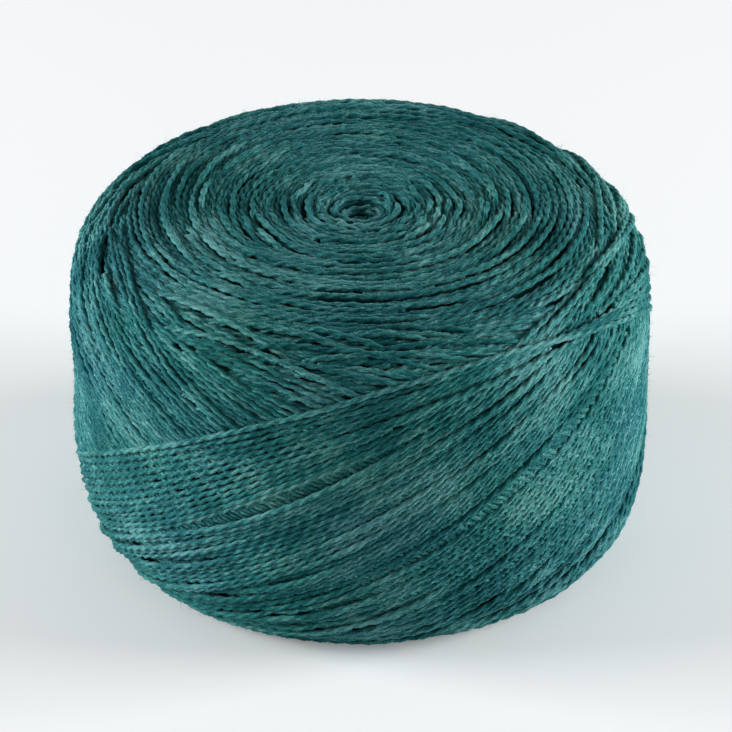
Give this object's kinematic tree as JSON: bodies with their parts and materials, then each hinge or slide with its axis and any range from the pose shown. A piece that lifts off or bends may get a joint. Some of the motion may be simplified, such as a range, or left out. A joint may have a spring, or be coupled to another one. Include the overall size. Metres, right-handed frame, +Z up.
{
  "type": "yarn cake",
  "caption": "Centre-pull cake of plied wool yarn, wound in crossing tilted passes around an open centre hole, standing on a flat foot.",
  "frame": {"origin": "on the cake's axis, in the plane of its flat foot", "axes": "+Z up along the centre-pull hole; +X is the side on which the last pass climbs to the shoulder; -Y is the front"},
  "size_m": [0.1, 0.1, 0.0615],
  "materials": {
    "yarn": "matt heathered teal wool",
    "yarn_core": "matt heathered teal wool"
  },
  "bodies": {
    "root": {"core_winding": "yarn_core", "first_winding": "yarn", "second_winding": "yarn", "third_winding": "yarn", "fourth_winding": "yarn", "crossing_winding": "yarn", "upper_pass": "yarn", "lower_pass": "yarn"}
  },
  "joints": []
}
